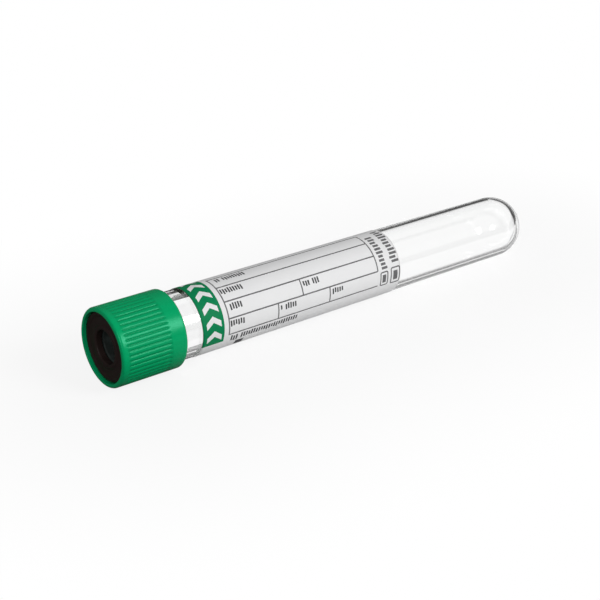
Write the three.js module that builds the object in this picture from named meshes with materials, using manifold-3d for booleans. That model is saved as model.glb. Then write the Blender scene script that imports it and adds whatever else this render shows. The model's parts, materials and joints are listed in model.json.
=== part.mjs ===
// Blood collection tube with a ribbed screw cap, lying on its side.
//
// Every piece is turned about the tube's own axis, which is +Y while it is made. Stations along it
// ("at") are millimetres from the front rim of the cap. The angle round it starts at the top and
// grows towards the side where the label's form faces. The finished tube is then laid down along +X,
// with its axis sloping by the few tenths of a degree at which cap and round end both touch the floor.

import * as THREE from 'three';
import { mergeVertices } from 'three/addons/utils/BufferGeometryUtils.js';
import Module from 'manifold-3d';

const wasm = await Module();
wasm.setup();

// ---------------------------------------------------------------- driving dimensions (mm)

const CAP_LENGTH = 13.5;
const CAP_RADIUS = 7.55;
const CAP_FRONT_ROUND = 0.55;
const CAP_REAR_ROUND = 0.3;
const RECESS_RADIUS = 6.7;
const SHELF_FRONT = 4.3;
const SHELF_REAR = 5.4;
const SHELF_HOLE_RADIUS = 4.6;
const SOCKET_RADIUS = 6.8;

const RIB_COUNT = 48;
const RIBS_FROM = 1.2;
const RIBS_TO = 10.3;
const RIB_DEPTH = 0.2;
const GROOVE_FLOOR_SHARE = 0.36;
const GROOVE_MOUTH_SHARE = 0.68;

const SNAP_GROOVE = { from: 0.95, to: 1.65, radius: 6.9, bevel: 0.2 };

const RING_FRONT = 0.65;
const RING_THICKNESS = 1.3;
const RING_RADIUS = 6.55;
const RING_BEAD_RADIUS = 6.75;
const RING_HOLE_RADIUS = 3.2;
const RING_EDGE = 0.15;
const RING_BEAD_HALF_WIDTH = 0.35;
const RING_HOLE_BEVEL = 0.2;

const STOPPER_FRONT = 2.1;
const STOPPER_REAR = 12.4;
const FLANGE_REAR = 4.15;
const FLANGE_RADIUS = 6.4;
const STOPPER_NECK_RADIUS = 4.4;
const LIP = { from: 5.5, to: 6.0, radius: 5.9 };
const PLUG_RADIUS = 5.1;
const PLUG_BEADS = [7.3, 9.3];
const PLUG_BEAD_RADIUS = 5.3;
const PLUG_BEAD_HALF_WIDTH = 0.5;
const PLUG_LEAD_IN = { length: 0.8, depth: 0.5 };
const NEEDLE_RECESS = { radius: 3.0, floor: 4.6 };
const REAR_RECESS = { radius: 3.0, floor: 8.3, bevel: 0.6 };

const MOUTH = 6.1;
const NECK_RADIUS = 6.12;
const SHOULDER = { from: 12.2, to: 12.9 };
const BODY_RADIUS = 6.565;
const END_RADIUS = 6.385;
const TIP = 102.5;
const END_WALL = 1.0;
const MOUTH_BORE_RADIUS = 5.45;

const THREAD_STARTS = 4;
const THREAD_LEAD = 12;
const THREAD_MIDDLE = 9.3;
const THREAD_SPAN = THREE.MathUtils.degToRad(76);
const THREAD_WIDTH = 0.8;
const THREAD_RADIUS = 6.47;
const LUG_SPAN = THREE.MathUtils.degToRad(34);
const LUG_WIDTH = 0.9;
const LUG_RADIUS = 6.3;
const THREAD_GAP = 0.15;
const THREAD_CREST_SHARE = 0.6;

const LABEL_FROM = 17.3;
const LABEL_TO = 64.8;
const LABEL_CLEARANCE = 0.05;
const LABEL_THICKNESS = 0.1;
const LABEL_GAP_FROM = THREE.MathUtils.degToRad(175);
const LABEL_GAP_TO = THREE.MathUtils.degToRad(295);

const TUBE_SEGMENTS = 36;
const CAP_SEGMENTS = 48;

// How far a rib or lug reaches into what it stands on, and a cutter past what it cuts.
const OVERLAP = 0.2;

// ---------------------------------------------------------------- solids

// Joins the seam and the poles of a geometry and drops the faces that have no area there.
function welded(geometry) {
  const bare = geometry.clone();
  for (const name of Object.keys(bare.attributes)) {
    if (name !== 'position') bare.deleteAttribute(name);
  }
  const merged = mergeVertices(bare, 1e-4);
  const index = [];
  for (let i = 0; i < merged.index.count; i += 3) {
    const [a, b, c] = [0, 1, 2].map((k) => merged.index.getX(i + k));
    if (a !== b && b !== c && c !== a) index.push(a, b, c);
  }
  merged.setIndex(index);
  return merged;
}

function toSolid(geometry) {
  const closed = welded(geometry);
  return new wasm.Manifold(new wasm.Mesh({
    numProp: 3,
    vertProperties: Float32Array.from(closed.attributes.position.array),
    triVerts: Uint32Array.from(closed.index.array),
  }));
}

function toGeometry(solid) {
  const mesh = solid.getMesh();
  const geometry = new THREE.BufferGeometry();
  geometry.setAttribute('position', new THREE.BufferAttribute(mesh.vertProperties, 3));
  geometry.setIndex(new THREE.BufferAttribute(mesh.triVerts, 1));
  return geometry;
}

// Turns a closed outline of [radius, at] points about the axis, with a flat facet facing the floor.
function turned(outline, segments) {
  const points = outline.map(([radius, at]) => new THREE.Vector2(radius, at));
  return new THREE.LatheGeometry(points, segments, Math.PI / segments);
}

// Points of a quarter or part of a circle about [radius, at], between two angles in degrees,
// where 0 points away from the axis and 90 points along it.
function arc(centreRadius, centreAt, r, fromDeg, toDeg, steps) {
  return Array.from({ length: steps + 1 }, (_, i) => {
    const angle = THREE.MathUtils.degToRad(fromDeg + ((toDeg - fromDeg) * i) / steps);
    return [Math.max(0, centreRadius + r * Math.cos(angle)), centreAt + r * Math.sin(angle)];
  });
}

// A short right-handed helix: a box bent round the axis, moved on by the lead for each full turn,
// with its free side narrowed so that it has sloping flanks.
function helicalRib({ innerRadius, outerRadius, width, span, middleAngle, middleAt, freeSideIsOuter }) {
  const rib = new THREE.BoxGeometry(span, outerRadius - innerRadius, width, 12, 1, 1);
  const middleRadius = (innerRadius + outerRadius) / 2;
  const position = rib.attributes.position;
  for (let i = 0; i < position.count; i += 1) {
    const turn = position.getX(i);
    const rise = position.getY(i);
    const isFree = rise > 0 === freeSideIsOuter;
    const across = position.getZ(i) * (isFree ? THREAD_CREST_SHARE : 1);
    const angle = middleAngle + turn;
    const at = middleAt + across + (THREAD_LEAD * turn) / (2 * Math.PI);
    const radius = middleRadius + rise;
    position.setXYZ(i, radius * Math.sin(angle), at, radius * Math.cos(angle));
  }
  return rib;
}

function threadStarts(makeRib) {
  return Array.from({ length: THREAD_STARTS }, (_, i) => makeRib((i * 2 * Math.PI) / THREAD_STARTS));
}

// ---------------------------------------------------------------- tube

const endCentre = TIP - END_RADIUS;

// The body narrows evenly from the shoulder to the round end.
function bodyRadius(at) {
  const share = (at - SHOULDER.to) / (endCentre - SHOULDER.to);
  return THREE.MathUtils.lerp(BODY_RADIUS, END_RADIUS, share);
}

// The bore narrows all the way from the mouth to the round end, so that its core can be drawn out.
function tubeGeometry() {
  const rimRound = (NECK_RADIUS - MOUTH_BORE_RADIUS) / 2;
  const rimMiddle = (NECK_RADIUS + MOUTH_BORE_RADIUS) / 2;
  const outline = [
    ...arc(0, endCentre, END_RADIUS - END_WALL, 90, 0, 9),
    ...arc(rimMiddle, MOUTH + rimRound, rimRound, -180, 0, 6),
    [NECK_RADIUS, SHOULDER.from],
    [BODY_RADIUS, SHOULDER.to],
    ...arc(0, endCentre, END_RADIUS, 0, 90, 9),
  ];
  const ribs = threadStarts((middleAngle) => helicalRib({
    innerRadius: NECK_RADIUS - OVERLAP,
    outerRadius: THREAD_RADIUS,
    width: THREAD_WIDTH,
    span: THREAD_SPAN,
    middleAngle,
    middleAt: THREAD_MIDDLE,
    freeSideIsOuter: true,
  }));
  const solid = ribs.reduce((sum, rib) => sum.add(toSolid(rib)), toSolid(turned(outline, TUBE_SEGMENTS)));
  return toGeometry(solid);
}

// ---------------------------------------------------------------- cap

// A ring whose inner edge has a tooth over each groove between two ribs.
function grooveCutter() {
  const shape = new THREE.Shape();
  shape.absarc(0, 0, CAP_RADIUS + 1, 0, 2 * Math.PI);
  const pitch = (2 * Math.PI) / RIB_COUNT;
  const points = [];
  for (let i = 0; i < RIB_COUNT; i += 1) {
    const middle = i * pitch;
    for (const [share, radius] of [
      [-GROOVE_MOUTH_SHARE, CAP_RADIUS + OVERLAP], [-GROOVE_FLOOR_SHARE, CAP_RADIUS - RIB_DEPTH],
      [GROOVE_FLOOR_SHARE, CAP_RADIUS - RIB_DEPTH], [GROOVE_MOUTH_SHARE, CAP_RADIUS + OVERLAP],
    ]) {
      const angle = middle + (share * pitch) / 2;
      points.push(new THREE.Vector2(radius * Math.sin(angle), radius * Math.cos(angle)));
    }
  }
  shape.holes.push(new THREE.Path(points));
  const cutter = new THREE.ExtrudeGeometry(shape, {
    depth: RIBS_TO - RIBS_FROM, bevelEnabled: false, curveSegments: RIB_COUNT,
  });
  cutter.rotateX(-Math.PI / 2);
  cutter.translate(0, RIBS_FROM, 0);
  return cutter;
}

function capGeometry() {
  const { from, to, radius, bevel } = SNAP_GROOVE;
  const outline = [
    [RECESS_RADIUS, 0],
    ...arc(CAP_RADIUS - CAP_FRONT_ROUND, CAP_FRONT_ROUND, CAP_FRONT_ROUND, -90, 0, 4),
    ...arc(CAP_RADIUS - CAP_REAR_ROUND, CAP_LENGTH - CAP_REAR_ROUND, CAP_REAR_ROUND, 0, 90, 3),
    [SOCKET_RADIUS, CAP_LENGTH],
    [SOCKET_RADIUS, SHELF_REAR],
    [SHELF_HOLE_RADIUS, SHELF_REAR],
    [SHELF_HOLE_RADIUS, SHELF_FRONT],
    [RECESS_RADIUS, SHELF_FRONT],
    [RECESS_RADIUS, to + bevel],
    [radius, to],
    [radius, from],
    [RECESS_RADIUS, from - bevel],
    [RECESS_RADIUS, 0],
  ];
  const lugs = threadStarts((middleAngle) => helicalRib({
    innerRadius: LUG_RADIUS,
    outerRadius: SOCKET_RADIUS + OVERLAP,
    width: LUG_WIDTH,
    span: LUG_SPAN,
    middleAngle,
    middleAt: THREAD_MIDDLE + (THREAD_WIDTH + LUG_WIDTH) / 2 + THREAD_GAP,
    freeSideIsOuter: false,
  }));
  const blank = toSolid(turned(outline, CAP_SEGMENTS)).subtract(toSolid(grooveCutter()));
  return toGeometry(lugs.reduce((sum, lug) => sum.add(toSolid(lug)), blank));
}

// ---------------------------------------------------------------- retaining ring

function ringGeometry() {
  const rear = RING_FRONT + RING_THICKNESS;
  const beadMiddle = (SNAP_GROOVE.from + SNAP_GROOVE.to) / 2;
  const outline = [
    [RING_HOLE_RADIUS + RING_HOLE_BEVEL, RING_FRONT],
    [RING_RADIUS - RING_EDGE, RING_FRONT],
    [RING_RADIUS, RING_FRONT + RING_EDGE],
    [RING_BEAD_RADIUS, beadMiddle],
    [RING_RADIUS, beadMiddle + RING_BEAD_HALF_WIDTH],
    [RING_RADIUS, rear],
    [RING_HOLE_RADIUS, rear],
    [RING_HOLE_RADIUS, RING_FRONT + RING_HOLE_BEVEL],
    [RING_HOLE_RADIUS + RING_HOLE_BEVEL, RING_FRONT],
  ];
  return turned(outline, TUBE_SEGMENTS);
}

// ---------------------------------------------------------------- stopper

function stopperGeometry() {
  const beads = PLUG_BEADS.flatMap((at) => [
    [PLUG_RADIUS, at - PLUG_BEAD_HALF_WIDTH],
    [PLUG_BEAD_RADIUS, at],
    [PLUG_RADIUS, at + PLUG_BEAD_HALF_WIDTH],
  ]);
  const outline = [
    [0, NEEDLE_RECESS.floor],
    [NEEDLE_RECESS.radius, NEEDLE_RECESS.floor],
    [NEEDLE_RECESS.radius, STOPPER_FRONT],
    [FLANGE_RADIUS, STOPPER_FRONT],
    [FLANGE_RADIUS, FLANGE_REAR],
    [STOPPER_NECK_RADIUS, FLANGE_REAR],
    [STOPPER_NECK_RADIUS, LIP.from],
    [LIP.radius, LIP.from],
    [LIP.radius, LIP.to],
    [PLUG_RADIUS, LIP.to],
    ...beads,
    [PLUG_RADIUS, STOPPER_REAR - PLUG_LEAD_IN.length],
    [PLUG_RADIUS - PLUG_LEAD_IN.depth, STOPPER_REAR],
    [REAR_RECESS.radius, STOPPER_REAR],
    [REAR_RECESS.radius, REAR_RECESS.floor + REAR_RECESS.bevel],
    [REAR_RECESS.radius - REAR_RECESS.bevel, REAR_RECESS.floor],
    [0, REAR_RECESS.floor],
  ];
  return turned(outline, TUBE_SEGMENTS);
}

// ---------------------------------------------------------------- label

// The wrap is turned as a closed strip from one edge of the viewing gap round to the other.
function labelGeometry() {
  const facet = (2 * Math.PI) / TUBE_SEGMENTS;
  const outer = (at) => bodyRadius(at) + LABEL_CLEARANCE + LABEL_THICKNESS;
  const corners = [
    [outer(LABEL_FROM) - LABEL_THICKNESS, LABEL_FROM],
    [outer(LABEL_FROM), LABEL_FROM],
    [outer(LABEL_TO), LABEL_TO],
    [outer(LABEL_TO) - LABEL_THICKNESS, LABEL_TO],
  ];
  const first = Math.ceil(LABEL_GAP_TO / facet - 0.5) - TUBE_SEGMENTS;
  const last = Math.floor(LABEL_GAP_FROM / facet - 0.5);
  const stations = last - first;
  const positions = [];
  for (let i = 0; i <= stations; i += 1) {
    const angle = (first + i + 0.5) * facet;
    for (const [radius, at] of corners) {
      positions.push(radius * Math.sin(angle), at, radius * Math.cos(angle));
    }
  }
  const index = [0, 1, 2, 0, 2, 3];
  for (let i = 0; i < stations; i += 1) {
    for (let k = 0; k < 4; k += 1) {
      const [a, b] = [4 * i + k, 4 * i + ((k + 1) % 4)];
      index.push(a, a + 4, b, b, a + 4, b + 4);
    }
  }
  const end = 4 * stations;
  index.push(end, end + 2, end + 1, end, end + 3, end + 2);
  const strip = new THREE.BufferGeometry();
  strip.setAttribute('position', new THREE.Float32BufferAttribute(positions, 3));
  strip.setIndex(index);
  return strip;
}

// ---------------------------------------------------------------- assembly

const clearPlastic = new THREE.MeshStandardMaterial({
  color: 0xf2f6f6, roughness: 0.05, metalness: 0, transparent: true, opacity: 0.3,
});
const greenPlastic = new THREE.MeshStandardMaterial({ color: 0x00914f, roughness: 0.38, metalness: 0 });
const blackPlastic = new THREE.MeshStandardMaterial({ color: 0x141416, roughness: 0.45, metalness: 0 });
const darkRubber = new THREE.MeshStandardMaterial({ color: 0x1d2221, roughness: 0.7, metalness: 0 });
const whitePaper = new THREE.MeshStandardMaterial({ color: 0xeceef0, roughness: 0.55, metalness: 0 });

function piece(name, geometry, material) {
  const mesh = new THREE.Mesh(geometry, material);
  mesh.name = name;
  return mesh;
}

const lying = new THREE.Group();
lying.add(
  piece('tube', tubeGeometry(), clearPlastic),
  piece('cap', capGeometry(), greenPlastic),
  piece('retaining_ring', ringGeometry(), blackPlastic),
  piece('stopper', stopperGeometry(), darkRubber),
  piece('label', labelGeometry(), whitePaper),
);

// Cap and round end touch the floor with the middles of their lowest facets.
const capDrop = CAP_RADIUS * Math.cos(Math.PI / CAP_SEGMENTS);
const endDrop = END_RADIUS * Math.cos(Math.PI / TUBE_SEGMENTS);
const slope = Math.atan((capDrop - endDrop) / (endCentre - (CAP_LENGTH - CAP_REAR_ROUND)));
lying.rotation.set(0, slope, -Math.PI / 2);

const group = new THREE.Group();
group.add(lying);

// The origin is under the middle of the whole, on the floor.
const box = new THREE.Box3().setFromObject(group, true);
const middle = box.getCenter(new THREE.Vector3());
lying.position.set(-middle.x, -middle.y, -box.min.z);

export default group;
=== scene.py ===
# A blood collection tube lying on its side: a clear tube, a rubber stopper that a screw cap carries,
# the ring that keeps the stopper in the cap, and a printed label wrapped round the tube. Lengths are
# in millimetres along the tube's axis from the cap's front rim, and turns are measured round the axis
# from the top towards the side where the label's form faces.

import json

import bpy
import numpy as np
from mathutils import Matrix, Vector


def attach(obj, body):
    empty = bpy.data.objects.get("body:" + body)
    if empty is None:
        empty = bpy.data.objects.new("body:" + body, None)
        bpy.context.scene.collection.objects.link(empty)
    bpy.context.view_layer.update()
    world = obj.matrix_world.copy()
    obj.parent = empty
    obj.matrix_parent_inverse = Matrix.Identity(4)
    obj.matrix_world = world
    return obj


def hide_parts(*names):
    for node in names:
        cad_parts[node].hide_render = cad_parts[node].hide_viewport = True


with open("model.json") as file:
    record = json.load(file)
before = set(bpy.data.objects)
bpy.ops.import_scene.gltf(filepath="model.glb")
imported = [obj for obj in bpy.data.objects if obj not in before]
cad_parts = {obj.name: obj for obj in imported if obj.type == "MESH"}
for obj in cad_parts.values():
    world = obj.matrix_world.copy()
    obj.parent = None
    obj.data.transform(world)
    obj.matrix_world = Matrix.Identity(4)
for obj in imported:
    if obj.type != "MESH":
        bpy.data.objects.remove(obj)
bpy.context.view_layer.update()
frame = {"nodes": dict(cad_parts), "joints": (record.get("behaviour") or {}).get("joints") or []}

bpy.context.scene.view_settings.view_transform = "Standard"


# ---------------------------------------------------------------- tube
# A clear polyester tube, injection moulded in one piece. Its neck steps down under the cap and carries
# the four short starts of a thread, its bore narrows from the mouth to the round end so that the core
# can be drawn out, and the gate of the mould leaves a small dimple at the tip.

MM = 0.001
joints = {joint["name"]: joint for joint in frame["joints"]}
to_tip = -np.array(joints["closure_pull"]["axis"])
to_tip /= np.linalg.norm(to_tip)
to_top = np.array([0, 0, 1]) - to_tip[2] * to_tip
to_top /= np.linalg.norm(to_top)
to_form = np.cross(to_tip, to_top)


def node_points(node):
    """The corners of a CAD node, one row each, in metres."""
    vertices = frame["nodes"][node].data.vertices
    points = np.empty(3 * len(vertices), np.float32)
    vertices.foreach_get("co", points)
    return points.reshape(-1, 3).astype(float)


on_axis = np.array(joints["cap_twist"]["pos_m"])
cap_front = on_axis + to_tip * ((node_points("cap") - on_axis) @ to_tip).min()


def stations(node):
    """Where a CAD node starts and ends along the axis and its widest radius, in millimetres."""
    away = node_points(node) - cap_front
    at = away @ to_tip
    radius = np.linalg.norm(away - at[:, None] * to_tip, axis=1)
    return at.min() / MM, at.max() / MM, radius.max() / MM


def smooth_step(low, high, value):
    """Rises from 0 at low to 1 at high along 3x squared less 2x cubed. low may be the larger one."""
    share = np.clip((value - low) / (high - low), 0, 1)
    return share * share * (3 - 2 * share)


def rounded(corners, steps=6):
    """An outline of (radius, at, round) corners with each corner turned into an arc of that radius.
    The arc is the rational quadratic curve between the two points where it leaves the straight
    sides, whose middle weight is the sine of half the angle between them. Two arcs that would meet
    on a side both shrink. The two ends of an open outline have a round of 0."""
    corner = np.array([c[:2] for c in corners], float)
    wanted = np.array([c[2] for c in corners], float)
    back = np.roll(corner, 1, 0) - corner
    on = np.roll(corner, -1, 0) - corner
    back_length = np.linalg.norm(back, axis=1)
    on_length = np.linalg.norm(on, axis=1)
    back /= back_length[:, None]
    on /= on_length[:, None]
    half = np.arccos(np.clip((back * on).sum(1), -1, 1)) / 2
    reach = wanted / np.tan(half)
    squeeze = np.minimum(1, on_length / np.maximum(reach + np.roll(reach, -1), 1e-9))
    cut = (reach * np.minimum(squeeze, np.roll(squeeze, 1)))[:, None, None]
    weight = np.sin(half)[:, None, None]
    t = np.linspace(0, 1, steps + 1)[None, :, None]
    start = (corner[:, None] + back[:, None] * cut) * (1 - t) ** 2
    middle = corner[:, None] * 2 * t * (1 - t) * weight
    end = (corner[:, None] + on[:, None] * cut) * t**2
    points = (start + middle + end) / ((1 - t) ** 2 + 2 * t * (1 - t) * weight + t**2)
    return points.reshape(-1, 2)


def without_repeats(outline):
    """The outline with each point left out that lies on the one before it."""
    step = np.linalg.norm(np.diff(outline, axis=0), axis=1)
    return outline[np.append(True, step > 1e-5)]


def filled(outline, longest):
    """The outline with points added, so that no two lie further apart than longest."""
    run = np.append(0, np.cumsum(np.linalg.norm(np.diff(outline, axis=0), axis=1)))
    wanted = np.unique(np.append(run, np.arange(0, run[-1], longest)))
    return np.stack([np.interp(wanted, run, outline[:, k]) for k in (0, 1)], 1)


def arc(radius, at, across, along, start, end, steps):
    """Points of an ellipse about (radius, at), reaching across and along, from one angle in degrees
    to another, where 0 points away from the axis and 90 towards the tip."""
    angle = np.radians(np.linspace(start, end, steps + 1))
    return np.stack([radius + across * np.cos(angle), at + along * np.sin(angle)], 1)


def swept(radius, at, turn):
    """The points at these radii and stations on the spokes at these turns, in metres. A spoke points
    along cosine times up plus sine times towards the form."""
    radius, at, turn = np.broadcast_arrays(radius, at, turn)
    spoke = np.cos(turn)[..., None] * to_top + np.sin(turn)[..., None] * to_form
    return cap_front + MM * (at[..., None] * to_tip + radius[..., None] * spoke)


def turned_mesh(name, points, outline_closes):
    """A closed surface from a grid of points, whose rows run round the axis and join up. Its columns
    are an outline that either closes on itself or starts and ends on the axis, where each end row
    becomes one point. The faces are turned over if the volume that they shut in comes out negative."""
    rows, columns = points.shape[:2]
    number = np.arange(rows * columns).reshape(rows, columns)
    if not outline_closes:
        number[0] = number[0, 0]
        number[-1] = number[-1, 0]
    here = number if outline_closes else number[:-1]
    above = np.roll(number, -1, 0) if outline_closes else number[1:]
    corners = (here, np.roll(here, -1, 1), np.roll(above, -1, 1), above)
    quads = np.stack(corners, -1).reshape(-1, 4)
    used, quads = np.unique(quads, return_inverse=True)
    quads = quads.reshape(-1, 4)
    places = points.reshape(-1, 3)[used]
    a, b, c, d = np.moveaxis(places[quads], 1, 0)
    volume = (np.cross(a, b) * c + np.cross(a, c) * d).sum()
    quads = quads if volume > 0 else quads[:, ::-1]
    mesh = bpy.data.meshes.new(name)
    faces = [tuple(dict.fromkeys(face)) for face in quads.tolist()]
    mesh.from_pydata(places, [], faces)
    mesh.shade_smooth()
    return mesh


def add_piece(mesh, finishes, body, slot, *stands_for):
    """Shows a mesh as a piece of the object, with its finishes, on the body that it rides on."""
    for finish in finishes:
        mesh.materials.append(finish.material)
    piece = bpy.data.objects.new(mesh.name, mesh)
    bpy.context.scene.collection.objects.link(piece)
    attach(piece, body)
    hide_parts(*stands_for)
    return piece


# A facetted CAD circle is narrower at the middles of its facets, which is where round pieces stay.
TUBE_FACETS = 36
TUBE_SPOKES = 256
END_WALL = 1.0
NECK_RADIUS = 6.12
MOUTH_BORE = 5.45
SHOULDER = (12.2, 12.9)
END_RADIUS = 6.385

THREAD_STARTS = 4
THREAD_LEAD = 12
THREAD_MIDDLE = 9.3
THREAD_SPAN = 76
THREAD_WIDTH = 0.8
THREAD_HEIGHT = 0.35
THREAD_CREST_SHARE = 0.6
THREAD_RUN_OUT = 9

GATE_RADIUS = 0.8
GATE_DEPTH = 0.12

mouth, tip, widest = stations("tube")
to_flat = np.cos(np.pi / TUBE_FACETS)
body_radius = widest * to_flat
end_radius = END_RADIUS * to_flat
end_from = tip - END_RADIUS


def tube_radius(at):
    """The outer radius of the tube's body, which narrows evenly from its shoulder to its round end."""
    share = (at - SHOULDER[1]) / (end_from - SHOULDER[1])
    return body_radius + share * (end_radius - body_radius)


def thread_height(at, turn, middle, width, span, height):
    """How far the starts of a right-handed thread rise. A start follows its middle line, which moves
    on by the lead for each full turn. Its height falls off smoothly across its flanks and over the
    last few degrees of its span."""
    pitch = 2 * np.pi / THREAD_STARTS
    own_turn = (turn + pitch / 2) % pitch - pitch / 2
    across = np.abs(at - middle - THREAD_LEAD * own_turn / (2 * np.pi))
    flank = smooth_step(width / 2, width / 2 * THREAD_CREST_SHARE, across)
    ends = smooth_step(span / 2, span / 2 - THREAD_RUN_OUT, np.abs(np.degrees(own_turn)))
    return height * flank * ends


def tube_mesh():
    """The outline runs from the tip over the outer side to the mouth and back inside to the tip. The
    gate's dimple is a bell curve, and the body is one straight run from the round end to the
    shoulder."""
    rim = (NECK_RADIUS - MOUTH_BORE) / 2
    outer_end = arc(0, end_from, end_radius, END_RADIUS, 90, 0, 40)
    outer_end[:, 1] -= GATE_DEPTH * np.exp(-((outer_end[:, 0] / GATE_RADIUS) ** 2))
    shoulder = rounded([
        (end_radius, end_from, 0),
        (body_radius, SHOULDER[1], 0.5),
        (NECK_RADIUS, SHOULDER[0], 0.4),
        (NECK_RADIUS, mouth + rim, 0),
    ])
    by_neck = shoulder[:, 1] < SHOULDER[1] + 1
    neck = filled(shoulder[by_neck], 0.1)
    mouth_rim = arc(NECK_RADIUS - rim, mouth + rim, rim, rim, 0, -180, 12)
    bore = filled(np.array([(MOUTH_BORE, mouth + rim), (end_radius - END_WALL, end_from)]), 2)
    inner_end = arc(0, end_from, end_radius - END_WALL, END_RADIUS - END_WALL, 0, 90, 40)
    outline = without_repeats(np.concatenate([outer_end, neck, mouth_rim, bore, inner_end]))
    radius, at = outline[:, :1], outline[:, 1:]
    turn = np.linspace(0, 2 * np.pi, TUBE_SPOKES, endpoint=False)
    on_neck = (radius > MOUTH_BORE + rim) & (at < SHOULDER[0])
    rise = thread_height(at, turn, THREAD_MIDDLE, THREAD_WIDTH, THREAD_SPAN, THREAD_HEIGHT)
    return turned_mesh("clear_tube", swept(radius + on_neck * rise, at, turn), False)


class Value:
    """What a shader node's output gives. Sums, products and comparisons of Values, or of a Value and
    a number, add the Math nodes that work them out."""

    def __init__(self, nodes, socket):
        self.nodes = nodes
        self.socket = socket

    def maths(self, operation, *sides):
        return self.nodes.node("Math", {"operation": operation}, dict(enumerate(sides)))["Value"]

    def __add__(self, other):
        return self.maths("ADD", self, other)

    def __sub__(self, other):
        return self.maths("SUBTRACT", self, other)

    def __rsub__(self, other):
        return self.maths("SUBTRACT", other, self)

    def __mul__(self, other):
        return self.maths("MULTIPLY", self, other)

    def __truediv__(self, other):
        return self.maths("DIVIDE", self, other)

    def __mod__(self, other):
        return self.maths("FLOORED_MODULO", self, other)

    def __gt__(self, other):
        return self.maths("GREATER_THAN", self, other)

    def __lt__(self, other):
        return self.maths("LESS_THAN", self, other)

    def __abs__(self):
        return self.maths("ABSOLUTE", self)

    def floor(self):
        return self.maths("FLOOR", self)

    def root(self):
        return self.maths("SQRT", self)

    def most(self, other):
        return self.maths("MAXIMUM", self, other)

    def rises(self, low, high):
        """0 at low and 1 at high, with a smooth rise between them. low may be the larger one."""
        inputs = {"Value": self, "From Min": low, "From Max": high}
        settings = {"interpolation_type": "SMOOTHSTEP"}
        return self.nodes.node("MapRange", settings, inputs)["Result"]

    __radd__ = __add__
    __rmul__ = __mul__


class Nodes:
    """An empty node tree that is filled from here."""

    def __init__(self, tree):
        self.tree = tree
        self.tree.nodes.clear()

    def node(self, kind, settings=None, inputs=None):
        """Adds a node, gives it its settings and then the values or links of its sockets, which are
        named, or numbered where names repeat. Returns its outputs in use by name."""
        made = self.tree.nodes.new("ShaderNode" + kind)
        for key, value in (settings or {}).items():
            setattr(made, key, value)
        for key, value in (inputs or {}).items():
            named = [s for s in made.inputs if s.name == key and s.enabled]
            socket = named[0] if named else made.inputs[key]
            if isinstance(value, Value):
                self.tree.links.new(value.socket, socket)
            else:
                socket.default_value = value
        return {s.name: Value(self, s) for s in made.outputs if s.enabled}


class Finish(Nodes):
    """A node material for one finish of the object."""

    def __init__(self, name):
        self.material = bpy.data.materials.new(name)
        self.material.use_nodes = True
        super().__init__(self.material.node_tree)

    def place(self):
        """The shaded point's own place in the object, in metres."""
        return self.node("TexCoord")["Object"]

    def noise(self, scale, detail=2.0, place=None):
        """Smooth noise between 0 and 1 with this many features to the millimetre."""
        inputs = {"Vector": place or self.place(), "Scale": scale / MM, "Detail": detail}
        return self.node("TexNoise", {}, inputs)["Fac"]

    def blend(self, factor, first, second):
        """The first colour turning into the second as the factor goes from 0 to 1."""
        settings = {"data_type": "RGBA"}
        inputs = {"Factor": factor, "A": first, "B": second}
        return self.node("Mix", settings, inputs)["Result"]

    def bump(self, height, depth):
        """A normal that a height between 0 and 1 tilts as if it stood that many millimetres deep."""
        inputs = {"Height": height, "Distance": depth * MM, "Strength": 1.0}
        return self.node("Bump", {}, inputs)["Normal"]

    def surface(self, shader):
        self.node("OutputMaterial", {}, {"Surface": shader})

    def lets_lamps_through(self, shader, tint):
        """The shader, but clear to shadow rays, so that lamps reach what is behind it."""
        clear = self.node("BsdfTransparent", {}, {"Color": tint})["BSDF"]
        is_shadow = self.node("LightPath")["Is Shadow Ray"]
        return self.node("MixShader", {}, {0: is_shadow, 1: shader, 2: clear})["Shader"]


def clear_polyester():
    """Polished and almost colourless. The melt leaves very faint waves, and handling a faint haze."""
    finish = Finish("clear_polyester")
    waves = finish.noise(0.12, 1.0)
    haze = finish.noise(0.9, 3.0)
    shader = finish.node("BsdfPrincipled", {}, {
        "Base Color": (0.998, 1.0, 0.999, 1),
        "Roughness": 0.01 + 0.03 * haze,
        "IOR": 1.57,
        "Transmission Weight": 1.0,
        "Normal": finish.bump(waves, 0.02),
    })["BSDF"]
    finish.surface(finish.lets_lamps_through(shader, (0.88, 0.89, 0.89, 1)))
    return finish


add_piece(tube_mesh(), [clear_polyester()], "tube", "clear_plastic", "tube")


# ---------------------------------------------------------------- stopper
# A dark butyl rubber stopper, compression moulded. Its flange sits in the cap against the shelf, its
# waist passes through the shelf's hole, and its plug, with two sealing beads, fills the tube's mouth.
# Both ends are hollowed, so that a needle has only a thin wall to pierce.

STOPPER_SPOKES = 144
FLANGE_REAR = 4.15
FLANGE_RADIUS = 6.4
WAIST_RADIUS = 4.4
LIP = (5.5, 6.0)
LIP_RADIUS = 5.9
PLUG_RADIUS = 5.08
BEADS = (7.3, 9.3)
BEAD_RADIUS = 5.28
BEAD_HALF_WIDTH = 0.5
NEEDLE_HOLLOW = 3.0
NEEDLE_FLOOR = 4.6
NEEDLE_DOME = 0.35
NEEDLE_ROUND = 0.4
LEAD_IN = 0.8
LEAD_IN_DEPTH = 0.5
REAR_HOLLOW = 3.0
REAR_FLOOR = 8.3

stopper_front, stopper_rear, _ = stations("stopper")


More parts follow.
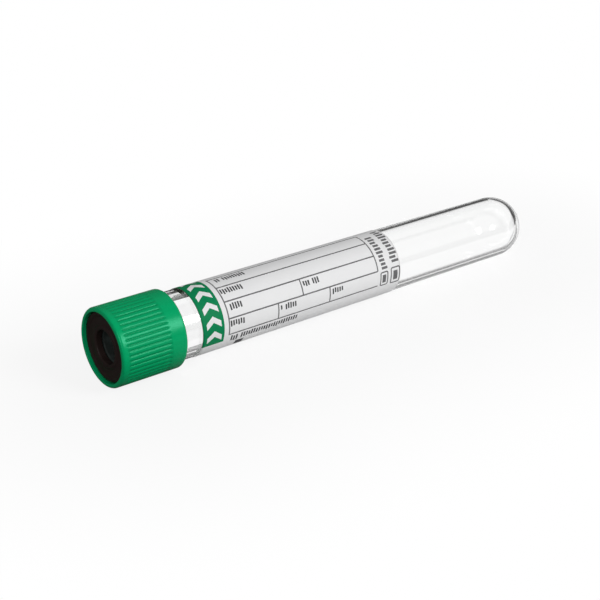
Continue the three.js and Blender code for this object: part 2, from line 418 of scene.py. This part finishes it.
def stopper_mesh():
    """The outline runs from the middle of the front hollow's floor, which is domed, out over the
    flange and back along the plug to the middle of the rear hollow."""
    floor = np.linspace(0, NEEDLE_HOLLOW - NEEDLE_ROUND, 12)
    swelling = NEEDLE_DOME * np.cos(floor / NEEDLE_HOLLOW * np.pi / 2) ** 2
    dome = np.stack([floor, NEEDLE_FLOOR - swelling], 1)
    beads = [
        corner
        for at in BEADS
        for corner in (
            (PLUG_RADIUS, at - BEAD_HALF_WIDTH, 0.3),
            (BEAD_RADIUS, at, 0.4),
            (PLUG_RADIUS, at + BEAD_HALF_WIDTH, 0.3),
        )
    ]
    side = rounded([
        (NEEDLE_HOLLOW - NEEDLE_ROUND, NEEDLE_FLOOR, 0),
        (NEEDLE_HOLLOW, NEEDLE_FLOOR, NEEDLE_ROUND),
        (NEEDLE_HOLLOW, stopper_front, 0.25),
        (FLANGE_RADIUS, stopper_front, 0.3),
        (FLANGE_RADIUS, FLANGE_REAR, 0.3),
        (WAIST_RADIUS, FLANGE_REAR, 0.3),
        (WAIST_RADIUS, LIP[0], 0.2),
        (LIP_RADIUS, LIP[0], 0.2),
        (LIP_RADIUS, LIP[1], 0.2),
        (PLUG_RADIUS, LIP[1], 0.1),
        *beads,
        (PLUG_RADIUS, stopper_rear - LEAD_IN, 0.5),
        (PLUG_RADIUS - LEAD_IN_DEPTH, stopper_rear, 0.2),
        (REAR_HOLLOW, stopper_rear, 0.3),
        (REAR_HOLLOW, REAR_FLOOR, 0.8),
        (0, REAR_FLOOR, 0),
    ])
    outline = without_repeats(np.concatenate([dome, side]))
    turn = np.linspace(0, 2 * np.pi, STOPPER_SPOKES, endpoint=False)
    return turned_mesh("rubber_stopper", swept(outline[:, :1], outline[:, 1:], turn), False)


def dark_rubber():
    """Nearly black with a green cast, and matt, with the fine grain of the mould and a little bloom."""
    finish = Finish("dark_rubber")
    grain = finish.noise(9, 2.0)
    bloom = finish.noise(0.5, 4.0).rises(0.45, 0.75)
    shader = finish.node("BsdfPrincipled", {}, {
        "Base Color": finish.blend(bloom, (0.016, 0.022, 0.02, 1), (0.034, 0.044, 0.041, 1)),
        "Roughness": 0.52 + 0.16 * bloom + 0.1 * grain,
        "IOR": 1.52,
        "Specular IOR Level": 0.25,
        "Normal": finish.bump(grain, 0.012),
    })["BSDF"]
    finish.surface(shader)
    return finish


add_piece(stopper_mesh(), [dark_rubber()], "stopper", "dark_rubber", "stopper")


# ---------------------------------------------------------------- cap
# A green polyethylene screw cap, injection moulded. Grip ribs run between its rounded front rim and a
# smooth skirt. The ring snaps into a groove in its front recess, a shelf holds the stopper's flange,
# and four short lugs in the socket behind it run in the tube's thread.

CAP_FACETS = 48
CAP_STEP = 0.22
SOCKET_STEP = 0.25
FRONT_ROUND = 0.55
REAR_ROUND = 0.45
RECESS_RADIUS = 6.7
RIM_MIDDLE = 6.95
SNAP_GROOVE = (0.95, 1.65)
SNAP_GROOVE_RADIUS = 6.9
GROOVE_SLOPE = 0.2
SHELF = (4.3, 5.4)
SHELF_HOLE = 4.6
SOCKET_RADIUS = 6.8

RIBS = 48
RIBS_FROM = 1.2
RIBS_TO = 10.3
RIB_DEPTH = 0.2
FRONT_RAMP = 0.35
REAR_RAMP = 0.5
RIB_STEPS = 10
# How far under the cap's widest radius the ribs start and stop to fade out.
RIB_FADE = (0.02, 0.3)
# How strongly the ribbed part takes its painted shade, a darker green that stands for the shade among
# the ribs.
RIB_SHADE = 0.9
# How many features the streaks have to a millimetre along the cap, to a radian and to a millimetre
# outwards.
STREAKS = (0.12, 9, 0.3)

LUG_WIDTH = 0.9
LUG_SPAN = 34
LUG_HEIGHT = 0.5
LUG_GAP = 0.15
LUGS_FROM_SHELF = 0.5

_, cap_rear, cap_widest = stations("cap")
cap_radius = cap_widest * np.cos(np.pi / CAP_FACETS)


def rib_groove(at, turn):
    """How deep the grooves between the grip ribs are. The depth grows with the cube of the distance
    from the crest of a rib, so that crests are broad and grooves narrow, and each groove runs out in
    a short ramp at both ends."""
    from_crest = np.abs(turn / (2 * np.pi / RIBS) % 1 - 0.5) * 2
    front_ramp = smooth_step(RIBS_FROM, RIBS_FROM + FRONT_RAMP, at)
    rear_ramp = smooth_step(RIBS_TO, RIBS_TO - REAR_RAMP, at)
    return RIB_DEPTH * from_crest**3 * front_ramp * rear_ramp


def cap_mesh():
    """The outline runs from the front rim back along the outer side, in at the rear edge, and forward
    through socket, shelf and recess. Grooves are taken off the outer side and lugs off the bore of the
    socket."""
    groove_front, groove_rear = SNAP_GROOVE
    outside = filled(rounded([
        (RIM_MIDDLE, 0, 0),
        (cap_radius, 0, FRONT_ROUND),
        (cap_radius, cap_rear, REAR_ROUND),
        (RIM_MIDDLE, cap_rear, 0),
    ]), CAP_STEP)
    inside = filled(rounded([
        (RIM_MIDDLE, cap_rear, 0),
        (SOCKET_RADIUS, cap_rear, 0.1),
        (SOCKET_RADIUS, SHELF[1], 0.3),
        (SHELF_HOLE, SHELF[1], 0.2),
        (SHELF_HOLE, SHELF[0], 0.2),
        (RECESS_RADIUS, SHELF[0], 0.2),
        (RECESS_RADIUS, groove_rear + GROOVE_SLOPE, 0.1),
        (SNAP_GROOVE_RADIUS, groove_rear, 0.1),
        (SNAP_GROOVE_RADIUS, groove_front, 0.1),
        (RECESS_RADIUS, groove_front - GROOVE_SLOPE, 0.1),
        (RECESS_RADIUS, 0, 0.15),
        (RIM_MIDDLE, 0, 0),
    ], 4), SOCKET_STEP)
    outline = without_repeats(np.concatenate([outside, inside]))[:-1]
    radius, at = outline[:, :1], outline[:, 1:]
    turn = np.linspace(0, 2 * np.pi, RIBS * RIB_STEPS, endpoint=False)
    is_outside = smooth_step(cap_radius - RIB_FADE[1], cap_radius - RIB_FADE[0], radius)
    in_socket = (radius < SOCKET_RADIUS + 0.01) & (at > SHELF[1] + LUGS_FROM_SHELF)
    lug_middle = THREAD_MIDDLE + (THREAD_WIDTH + LUG_WIDTH) / 2 + LUG_GAP
    lugs = thread_height(at, turn, lug_middle, LUG_WIDTH, LUG_SPAN, LUG_HEIGHT)
    shaped = radius - is_outside * rib_groove(at, turn) - in_socket * lugs
    return turned_mesh("screw_cap", swept(shaped, at, turn), True)


def within(value, low, high):
    """1 between low and high, else 0."""
    return (value > low) * (value < high)


def station_and_turn(finish):
    """The shaded point's station along the axis and its radius, in millimetres, and its turn round
    the axis in radians."""
    inputs = {0: finish.place(), 1: tuple(cap_front)}
    away = finish.node("VectorMath", {"operation": "SUBTRACT"}, inputs)["Vector"]
    along, up, aside = [
        finish.node("VectorMath", {"operation": "DOT_PRODUCT"}, {0: away, 1: tuple(way / MM)})["Value"]
        for way in (to_tip, to_top, to_form)
    ]
    radius = (up * up + aside * aside).root()
    return along, radius, up.maths("ARCTAN2", aside, up)


def green_polyethylene():
    """Evenly coloured and satin. The flow of the melt leaves faint streaks along the cap and the mould
    a fine grain. The ribbed part is painted a darker green, and its grooves darker still, as painted
    shade among the ribs."""
    finish = Finish("green_polyethylene")
    at, radius, turn = station_and_turn(finish)
    drawn_out = {"X": at * STREAKS[0], "Y": turn * STREAKS[1], "Z": radius * STREAKS[2]}
    streaks = finish.noise(MM, 3.0, finish.node("CombineXYZ", {}, drawn_out)["Vector"])
    mottle = finish.noise(0.35, 3.0)
    grain = finish.noise(7, 2.0)
    # Painted shade: the ribbed part is a darker green, and its grooves darker still, for the shade that
    # falls among the ribs.
    groove_shade = radius.rises(cap_radius, cap_radius - RIB_DEPTH)
    green = finish.blend(streaks, (0.0, 0.36, 0.124, 1), (0.001, 0.425, 0.154, 1))
    painted_rib_shade = finish.blend(groove_shade, (0.0, 0.35, 0.124, 1), (0.0, 0.275, 0.092, 1))
    green = finish.blend(RIB_SHADE * within(at, RIBS_FROM, RIBS_TO), green, painted_rib_shade)
    shader = finish.node("BsdfPrincipled", {}, {
        "Base Color": green,
        "Roughness": 0.19 + 0.1 * mottle + 0.06 * grain,
        "IOR": 1.5,
        "Specular IOR Level": 0.35,
        "Specular Tint": (0.25, 1.0, 0.7, 1),
        "Normal": finish.bump(grain * 0.5 + mottle * 2, 0.015),
    })["BSDF"]
    finish.surface(shader)
    return finish


add_piece(cap_mesh(), [green_polyethylene()], "cap", "green_plastic", "cap")


# ---------------------------------------------------------------- retaining ring
# A black moulded ring that snaps into the cap's recess over the stopper's flange, so that stopper and
# cap come off together. Its hole guides the needle, and a raised lip runs round the hole.

RING_SPOKES = 180
RING_HOLE = 3.2
RING_RADIUS = 6.5
RING_BEAD = 6.7
RING_LIP_WIDTH = 0.7
RING_LIP_SLOPE = 0.3
RING_DISH = 0.25
# How far in from the edge the dish ends and the flat rim begins.
RING_DISH_EDGE = 0.9
RING_RIM_EDGE = 0.5
BEAD_SLOPE = 0.35

ring_front, ring_rear, _ = stations("retaining_ring")


def ring_mesh():
    """The outline goes round the ring's section: front lip, dished face, edge with its snap bead, flat
    rear face and hole."""
    bead_at = (SNAP_GROOVE[0] + SNAP_GROOVE[1]) / 2
    outline = rounded([
        (RING_HOLE, ring_front, 0.25),
        (RING_HOLE + RING_LIP_WIDTH, ring_front, 0.15),
        (RING_HOLE + RING_LIP_WIDTH + RING_LIP_SLOPE, ring_front + RING_DISH, 0.2),
        (RING_RADIUS - RING_DISH_EDGE, ring_front + RING_DISH, 0.2),
        (RING_RADIUS - RING_RIM_EDGE, ring_front, 0.15),
        (RING_RADIUS, ring_front, 0.15),
        (RING_BEAD, bead_at, 0.15),
        (RING_RADIUS, bead_at + BEAD_SLOPE, 0.1),
        (RING_RADIUS, ring_rear, 0.1),
        (RING_HOLE, ring_rear, 0.1),
    ])
    outline = without_repeats(outline)
    turn = np.linspace(0, 2 * np.pi, RING_SPOKES, endpoint=False)
    return turned_mesh("snap_ring", swept(outline[:, :1], outline[:, 1:], turn), True)


def black_polystyrene():
    """Black with a warm brown cast, a fine grain, and a gloss that varies a little from place to
    place."""
    finish = Finish("black_polystyrene")
    cloud = finish.noise(0.6, 3.0)
    grain = finish.noise(6, 2.0)
    shader = finish.node("BsdfPrincipled", {}, {
        "Base Color": finish.blend(cloud, (0.014, 0.009, 0.008, 1), (0.034, 0.02, 0.018, 1)),
        "Roughness": 0.34 + 0.16 * cloud,
        "IOR": 1.55,
        "Specular IOR Level": 0.15,
        "Normal": finish.bump(grain, 0.01),
    })["BSDF"]
    finish.surface(shader)
    return finish


add_piece(ring_mesh(), [black_polystyrene()], "cap", "black_plastic", "retaining_ring")


# ---------------------------------------------------------------- label
# A satin white paper label, wrapped round the tube and pressed on so that no air is left under it. A
# gap between its two straight edges leaves the filling in view. A green band next to the cap carries
# pointers that show which way the cap turns off, and a form for handwriting fills the rest.

LABEL_THICKNESS = 0.12
LABEL_PRESSED_IN = 0.02
LABEL_TURNS = (-64, 174)
LABEL_CORNER = 1.6
LABEL_SPOKES = 239
LABEL_STATIONS = 96

label_from, label_to, _ = stations("label")
MM_PER_DEGREE = np.pi / 180 * tube_radius((label_from + label_to) / 2)


def label_mesh():
    """The printed face: a sheet between two turns whose corners are quarter circles, with a map that
    gives the station and the way round from the top, both in millimetres."""
    first, last = LABEL_TURNS
    turn = np.linspace(first, last, LABEL_SPOKES)
    to_edge = np.minimum(turn - first, last - turn) * MM_PER_DEGREE
    inside = LABEL_CORNER - np.minimum(to_edge, LABEL_CORNER)
    cut = LABEL_CORNER - np.sqrt(LABEL_CORNER**2 - inside**2)
    share = np.linspace(0, 1, LABEL_STATIONS)[:, None]
    at = (label_from + cut) * (1 - share) + (label_to - cut) * share
    radius = tube_radius(at) - LABEL_PRESSED_IN + LABEL_THICKNESS
    points = swept(radius, at, np.radians(turn))
    rows, columns = points.shape[:2]
    number = np.arange(rows * columns).reshape(rows, columns)
    corners = (number[:-1, :-1], number[:-1, 1:], number[1:, 1:], number[1:, :-1])
    quads = np.stack(corners, -1).reshape(-1, 4)
    mesh = bpy.data.meshes.new("wrap_label")
    mesh.from_pydata(points.reshape(-1, 3), [], quads.tolist())
    mesh.shade_smooth()
    mapped = np.stack(np.broadcast_arrays(at, turn * MM_PER_DEGREE), -1).reshape(-1, 2)
    layer = mesh.uv_layers.new(name="print")
    layer.data.foreach_set("uv", mapped[quads.reshape(-1)].astype(np.float32).ravel())
    return mesh


# Of a stroke's full height, how high its foot may lie and how high its top lies at least. Of its
# share of the line, how much it fills, and how many strokes are left out.
STROKE_FOOT = 0.16
STROKE_LEAST = 0.72
STROKE_SHARE = 0.63
STROKE_GAPS = 0.08


def ruled(value, middle, width):
    """1 on a line of this width, else 0."""
    return abs(value - middle) < width / 2


def strokes(reading, rising, height, pitch, seed):
    """Short strokes of uneven height, with a space here and there, in place of writing. reading runs
    along the line and rising up from its foot. A chance number for each stroke sets where it starts
    and ends, and a low one leaves it out."""
    cell = (reading / pitch).floor()
    settings = {"noise_dimensions": "1D"}
    chance = reading.nodes.node("TexWhiteNoise", settings, {"W": cell + seed})["Value"]
    foot = (chance * 7 % 1) * STROKE_FOOT * height
    upright = within(rising, foot, height * (STROKE_LEAST + (1 - STROKE_LEAST) * chance))
    return upright * (reading % pitch < pitch * STROKE_SHARE) * (chance > STROKE_GAPS)


def outlined_box(along, round_it, middle, half, corner, line):
    """1 on the outline of a box with round corners. Outside the box that its corner centres make, the
    distance to that box is the root of the sum of the squares of the two overshoots."""
    over = [
        (abs(value - centre) - (reach - corner)).most(0)
        for value, centre, reach in zip((along, round_it), middle, half)
    ]
    return ruled((over[0] * over[0] + over[1] * over[1]).root(), corner, line)


BAND_TO = 22.0
BAND_END = 13.0
POINTERS = 7
POINTERS_FROM = -7.3
POINTER_MIDDLE = 19.8
POINTER_HALF = 1.6
POINTER_PITCH = 2.75
POINTER_STROKE = 1.15
POINTER_SLOPE = 0.7

RULE_WIDTH = 0.27
RULE_INK = 0.9
FORM_FROM = 23.1
FORM_TO = 59.0
FIRST_RULE = -0.87
ROW_HEIGHT = 3.15
ROWS = 4
DIVIDERS = ((1, 40.4), (2, 34.4), (2, 46.8))
# The row, where it starts along the tube, how many strokes it has and how high they are.
CAPTIONS = (
    (-1, 24.3, 12, 1.3),
    (0, 23.4, 9, 1.3),
    (1, 23.4, 6, 1.35),
    (1, 40.9, 7, 1.35),
    (2, 23.4, 6, 1.25),
    (2, 34.9, 7, 1.25),
    (2, 47.4, 5, 1.3),
    (3, 23.7, 27, 1.5),
)
CAPTION_FOOT = 0.42
# The pitch of a caption's strokes, which grows with their height.
CAPTION_PITCH = 0.43
PITCH_BY_HEIGHT = 0.1
ROW_SEED = 31
TICK_ALONG = (25.2, 27.1)
TICK_ROUND = (14.1, 15.8)

# Beyond the form: the foot of each line of strokes, its height, its seed, and where it starts and
# ends round the tube; then the middle and half the size of each box, along and round the tube.
END_LINES = (
    (59.8, 1.8, 5.5, (0.8, 8.8)),
    (62.5, 2.1, 9.5, (-0.8, 8.0)),
)
END_PITCH = 0.8
END_BOXES = (
    ((60.6, 10.5), (0.9, 1.4)),
    ((63.5, 10.4), (1.1, 1.65)),
)
BOX_CORNER = 0.35
BAR_STRETCH = 1.2
# How strongly the ink covers where the paper's fibres show through it.
INK_LEAST = 0.86


def form_ink(along, round_it):
    """The rules, dividers and captions of the form. Its rows run along the tube, and the rules are
    printed a little fainter than the captions."""
    row = ((round_it - FIRST_RULE - ROW_HEIGHT) / ROW_HEIGHT).floor()
    above = (round_it - FIRST_RULE) % ROW_HEIGHT
    form_end = FIRST_RULE + ROWS * ROW_HEIGHT
    in_form = within(round_it, FIRST_RULE - RULE_WIDTH / 2, form_end + RULE_WIDTH / 2)
    on_rule = ruled((above + RULE_WIDTH) % ROW_HEIGHT, RULE_WIDTH, RULE_WIDTH)
    ink = on_rule * within(along, FORM_FROM, FORM_TO) * in_form
    ink = ink.most(ruled(along, FORM_FROM, RULE_WIDTH) * in_form)
    short_of_end = within(round_it, FIRST_RULE, form_end - ROW_HEIGHT)
    ink = ink.most(ruled(along, FORM_TO, RULE_WIDTH) * short_of_end)
    for number, at in DIVIDERS:
        ink = ink.most(ruled(along, at, RULE_WIDTH) * ruled(row, number, 1))
    ink = ink * RULE_INK
    for number, start, count, height in CAPTIONS:
        pitch = CAPTION_PITCH + PITCH_BY_HEIGHT * height
        seed = number * ROW_SEED + start
        written = strokes(along - start, above - CAPTION_FOOT, height, pitch, seed)
        in_place = within(along, start, start + count * pitch) * ruled(row, number, 1)
        ink = ink.most(written * in_place)
    return ink


def end_ink(along, round_it):
    """Two lines of strokes that run round the tube, and two boxes with a bar in each."""
    first, second = [
        strokes(round_it, along - foot, height, END_PITCH, seed) * within(round_it, *reach)
        for foot, height, seed, reach in END_LINES
    ]
    ink = first.most(second)
    for middle, half in END_BOXES:
        ink = ink.most(outlined_box(along, round_it, middle, half, BOX_CORNER, RULE_WIDTH))
        bar = ruled(along, middle[0], half[0]) * ruled(round_it, middle[1], half[1] * BAR_STRETCH)
        ink = ink.most(bar)
    return ink * RULE_INK


def label_print():
    """Ink on white paper, as masks over the map: a green band with a row of white pointers, the thin
    rules of a form, strokes where its captions stand, a dark tick under it, and lines of strokes and
    boxes beyond it."""
    finish = Finish("label_print")
    mapped = finish.node("UVMap", {"uv_map": "print"})["UV"]
    axes = finish.node("SeparateXYZ", {}, {"Vector": mapped})
    along, round_it = axes["X"], axes["Y"]
    fibres = finish.noise(2.2, 4.0)
    mottle = finish.noise(0.25, 2.0)
    from_middle = abs(along - POINTER_MIDDLE)
    run = (round_it - POINTERS_FROM - from_middle * POINTER_SLOPE) / POINTER_PITCH
    pointer = ruled(run % 1, 0.5, POINTER_STROKE / POINTER_PITCH) * (from_middle < POINTER_HALF)
    pointer = pointer * within(run, 0, POINTERS)
    green = (along < BAND_TO) * (round_it < BAND_END) * (1 - pointer)
    ink = form_ink(along, round_it).most(end_ink(along, round_it))
    ink = ink.most(within(along, *TICK_ALONG) * within(round_it, *TICK_ROUND))
    paper = finish.blend(mottle, (0.84, 0.84, 0.845, 1), (0.88, 0.88, 0.885, 1))
    green_ink = finish.blend(fibres, (0.0, 0.21, 0.07, 1), (0.002, 0.26, 0.1, 1))
    colour = finish.blend(green, paper, green_ink)
    colour = finish.blend(ink * (INK_LEAST + (1 - INK_LEAST) * fibres), colour, (0.02, 0.02, 0.024, 1))
    shader = finish.node("BsdfPrincipled", {}, {
        "Base Color": colour,
        "Roughness": 0.5 + 0.12 * fibres,
        "IOR": 1.45,
        "Specular IOR Level": 0.15,
        "Normal": finish.bump(fibres, 0.012),
    })["BSDF"]
    finish.surface(shader)
    return finish


def label_back():
    """The back and cut edge of the paper, as they show through the tube. Light soaks through the
    paper, and where it lies behind the band the back is a dark olive."""
    finish = Finish("label_back")
    fibres = finish.noise(1.6, 4.0)
    mapped = finish.node("UVMap", {"uv_map": "print"})["UV"]
    axes = finish.node("SeparateXYZ", {}, {"Vector": mapped})
    behind_band = (axes["X"] < BAND_TO) * (axes["Y"] < BAND_END)
    white = finish.blend(fibres, (0.93, 0.93, 0.93, 1), (0.97, 0.97, 0.965, 1))
    shader = finish.node("BsdfPrincipled", {}, {
        "Base Color": finish.blend(behind_band, white, (0.08, 0.115, 0.075, 1)),
        "Roughness": 0.7 + 0.1 * fibres,
        "IOR": 1.45,
        "Specular IOR Level": 0.2,
        "Subsurface Weight": 1.0,
        "Subsurface Radius": (1, 1, 1),
        "Subsurface Scale": 0.3 * MM,
        "Normal": finish.bump(fibres, 0.01),
    })["BSDF"]
    finish.surface(shader)
    return finish


label = add_piece(label_mesh(), [label_print(), label_back()], "tube", "label_paper", "label")
sheet = label.modifiers.new("paper", "SOLIDIFY")
sheet.thickness = LABEL_THICKNESS * MM
sheet.offset = -1
sheet.material_offset = 1
sheet.material_offset_rim = 1


# ---------------------------------------------------------------- floor, light and camera
# A white table in a white room, a large soft lamp on each side of the camera and a faint one behind
# the object. In what the clear tube bends and every surface mirrors, the room is darker near the
# horizon, which draws the edges.

FLOOR_RADIUS = 0.1
# The shadow is left alone this far along X and this far from that line, and then fades, in
# millimetres. Beside the object this share of the table is plain white.
SHADOW_HALF = 40
SHADOW_FADE = (10, 70)
PLAIN_SHARE = 0.85
# Between which places along Y each strip of painted shadow sets in and ends, in millimetres.
SHADOW_STRIPS = (((-4.1, -3.5), (-0.8, -2.4)), ((-6.2, -5.6), (-4.2, -4.7)))
STRIP_DEPTH = 0.75
CAP_TO_LABEL = (-41, -30)
BESIDE_CAP = (0.12, 0.12, 0.12, 1)
BESIDE_LABEL = (0.62, 0.62, 0.62, 1)
PAPER_WHITE = (0.95, 0.95, 0.95, 1)


def floor_surface():
    """White paper. Part of what the eye sees of it is plain white and the rest takes light and shadow,
    and away from the object the plain white takes over. Through the clear tube it is plain white too,
    but for two grey strips of painted shadow that run along X under the tube's near side. The light
    that it gives back is weaker beside the cap than beside the label."""
    finish = Finish("white_table")
    spot = finish.node("SeparateXYZ", {}, {"Vector": finish.place()})
    x, y = spot["X"] / MM, spot["Y"] / MM
    past_end = (abs(x) - SHADOW_HALF).most(0)
    away = (past_end * past_end + y * y).root()
    path = finish.node("LightPath")
    plain = PLAIN_SHARE + (1 - PLAIN_SHARE) * away.rises(*SHADOW_FADE)
    share = path["Is Camera Ray"] * plain + path["Is Transmission Ray"]
    # Painted shadow: two grey strips under the tube that only rays coming through the tube see.
    strips = [y.rises(*near_edge) * y.rises(*far_edge) for near_edge, far_edge in SHADOW_STRIPS]
    strength = 1 - path["Is Transmission Ray"] * (STRIP_DEPTH * (strips[0] + strips[1]))
    bounce = finish.blend(x.rises(*CAP_TO_LABEL), BESIDE_CAP, BESIDE_LABEL)
    paleness = finish.blend(path["Is Camera Ray"], bounce, PAPER_WHITE)
    matt = finish.node("BsdfDiffuse", {}, {"Color": paleness})["BSDF"]
    white = finish.node("Emission", {}, {"Color": (1, 1, 1, 1), "Strength": strength})["Emission"]
    finish.surface(finish.node("MixShader", {}, {0: share, 1: matt, 2: white})["Shader"])
    return finish


bpy.ops.mesh.primitive_circle_add(vertices=96, radius=FLOOR_RADIUS, fill_type="NGON")
table = bpy.context.active_object
table.name = "table"
table.data.materials.append(floor_surface().material)


# How bright the room is as a light, near the horizon through the tube, and on the mirrored walls.
AMBIENT = 0.24
DARK_HORIZON = 0.09
DARK_WALLS = 0.06
# Between which heights the dark sets in below, and gives way above, near the horizon and on the
# mirrored walls. 0 is level and 1 straight up.
DARK_STARTS = (-0.3, -0.1)
HORIZON_ENDS = (0.26, 0.14)
WALLS_END = (0.8, 0.5)


def white_room():
    """White to the eye and evenly dim as a light. It is darker near the horizon in what comes through
    one wall of the tube, and white through two walls or more. In what a surface mirrors the dark
    reaches further up."""
    world = bpy.data.worlds.new("white_room")
    world.use_nodes = True
    bpy.context.scene.world = world
    room = Nodes(world.node_tree)
    path = room.node("LightPath")
    way = room.node("TexCoord")["Generated"]
    height = room.node("SeparateXYZ", {}, {"Vector": way})["Z"]
    above_floor = height.rises(*DARK_STARTS)
    near_horizon = above_floor * height.rises(*HORIZON_ENDS)
    through_one_wall = path["Transmission Depth"] < 3
    through_tube = 1 - (1 - DARK_HORIZON) * near_horizon * through_one_wall
    mirrored = AMBIENT - (AMBIENT - DARK_WALLS) * above_floor * height.rises(*WALLS_END)
    unseen = AMBIENT + (mirrored - AMBIENT) * path["Is Glossy Ray"]
    unseen = unseen + (through_tube - unseen) * path["Is Transmission Ray"]
    strength = unseen + (1 - unseen) * path["Is Camera Ray"]
    background = room.node("Background", {}, {"Color": (1, 1, 1, 1), "Strength": strength})
    room.node("OutputWorld", {}, {"Surface": background["Background"]})


white_room()

# The middle of the view, on the tube's axis, and where the camera stands from there.
AIM = Vector((-0.0067, 0, 0.0041))
CAMERA_AZIMUTH = 37.7
CAMERA_ELEVATION = 25.8
CAMERA_DISTANCE = 0.2744


def seen_from(azimuth, elevation):
    """The direction from the object to a place at this azimuth, in degrees from -Y towards -X, and
    this height above the horizon."""
    a, e = np.radians((azimuth, elevation))
    return Vector((-np.sin(a) * np.cos(e), -np.cos(a) * np.cos(e), np.sin(e)))


camera = bpy.data.objects.new("camera", bpy.data.cameras.new("camera"))
bpy.context.scene.collection.objects.link(camera)
camera.data.lens = 84
camera.data.sensor_width = 36
camera.data.clip_start = 0.01
towards_camera = seen_from(CAMERA_AZIMUTH, CAMERA_ELEVATION)
camera.location = AIM + towards_camera * CAMERA_DISTANCE
camera.rotation_euler = towards_camera.to_track_quat("Z", "Y").to_euler()
bpy.context.scene.camera = camera


def soft_lamp(name, azimuth, elevation, distance, size, watts, shows=True):
    """A square lamp of this size that faces the object. One that doesn't show is neither mirrored nor
    seen through the tube."""
    lamp = bpy.data.objects.new(name, bpy.data.lights.new(name, "AREA"))
    bpy.context.scene.collection.objects.link(lamp)
    lamp.data.size = size
    lamp.data.energy = watts
    way = seen_from(azimuth, elevation)
    lamp.location = way * distance
    lamp.rotation_euler = way.to_track_quat("Z", "Y").to_euler()
    lamp.visible_glossy = shows
    lamp.visible_transmission = shows


soft_lamp("key", -27, 30, 0.9, 0.35, 4.12)
soft_lamp("second", 50, 29, 0.9, 0.35, 2.48)
soft_lamp("fill", 190, 14, 0.9, 0.5, 1.3, shows=False)
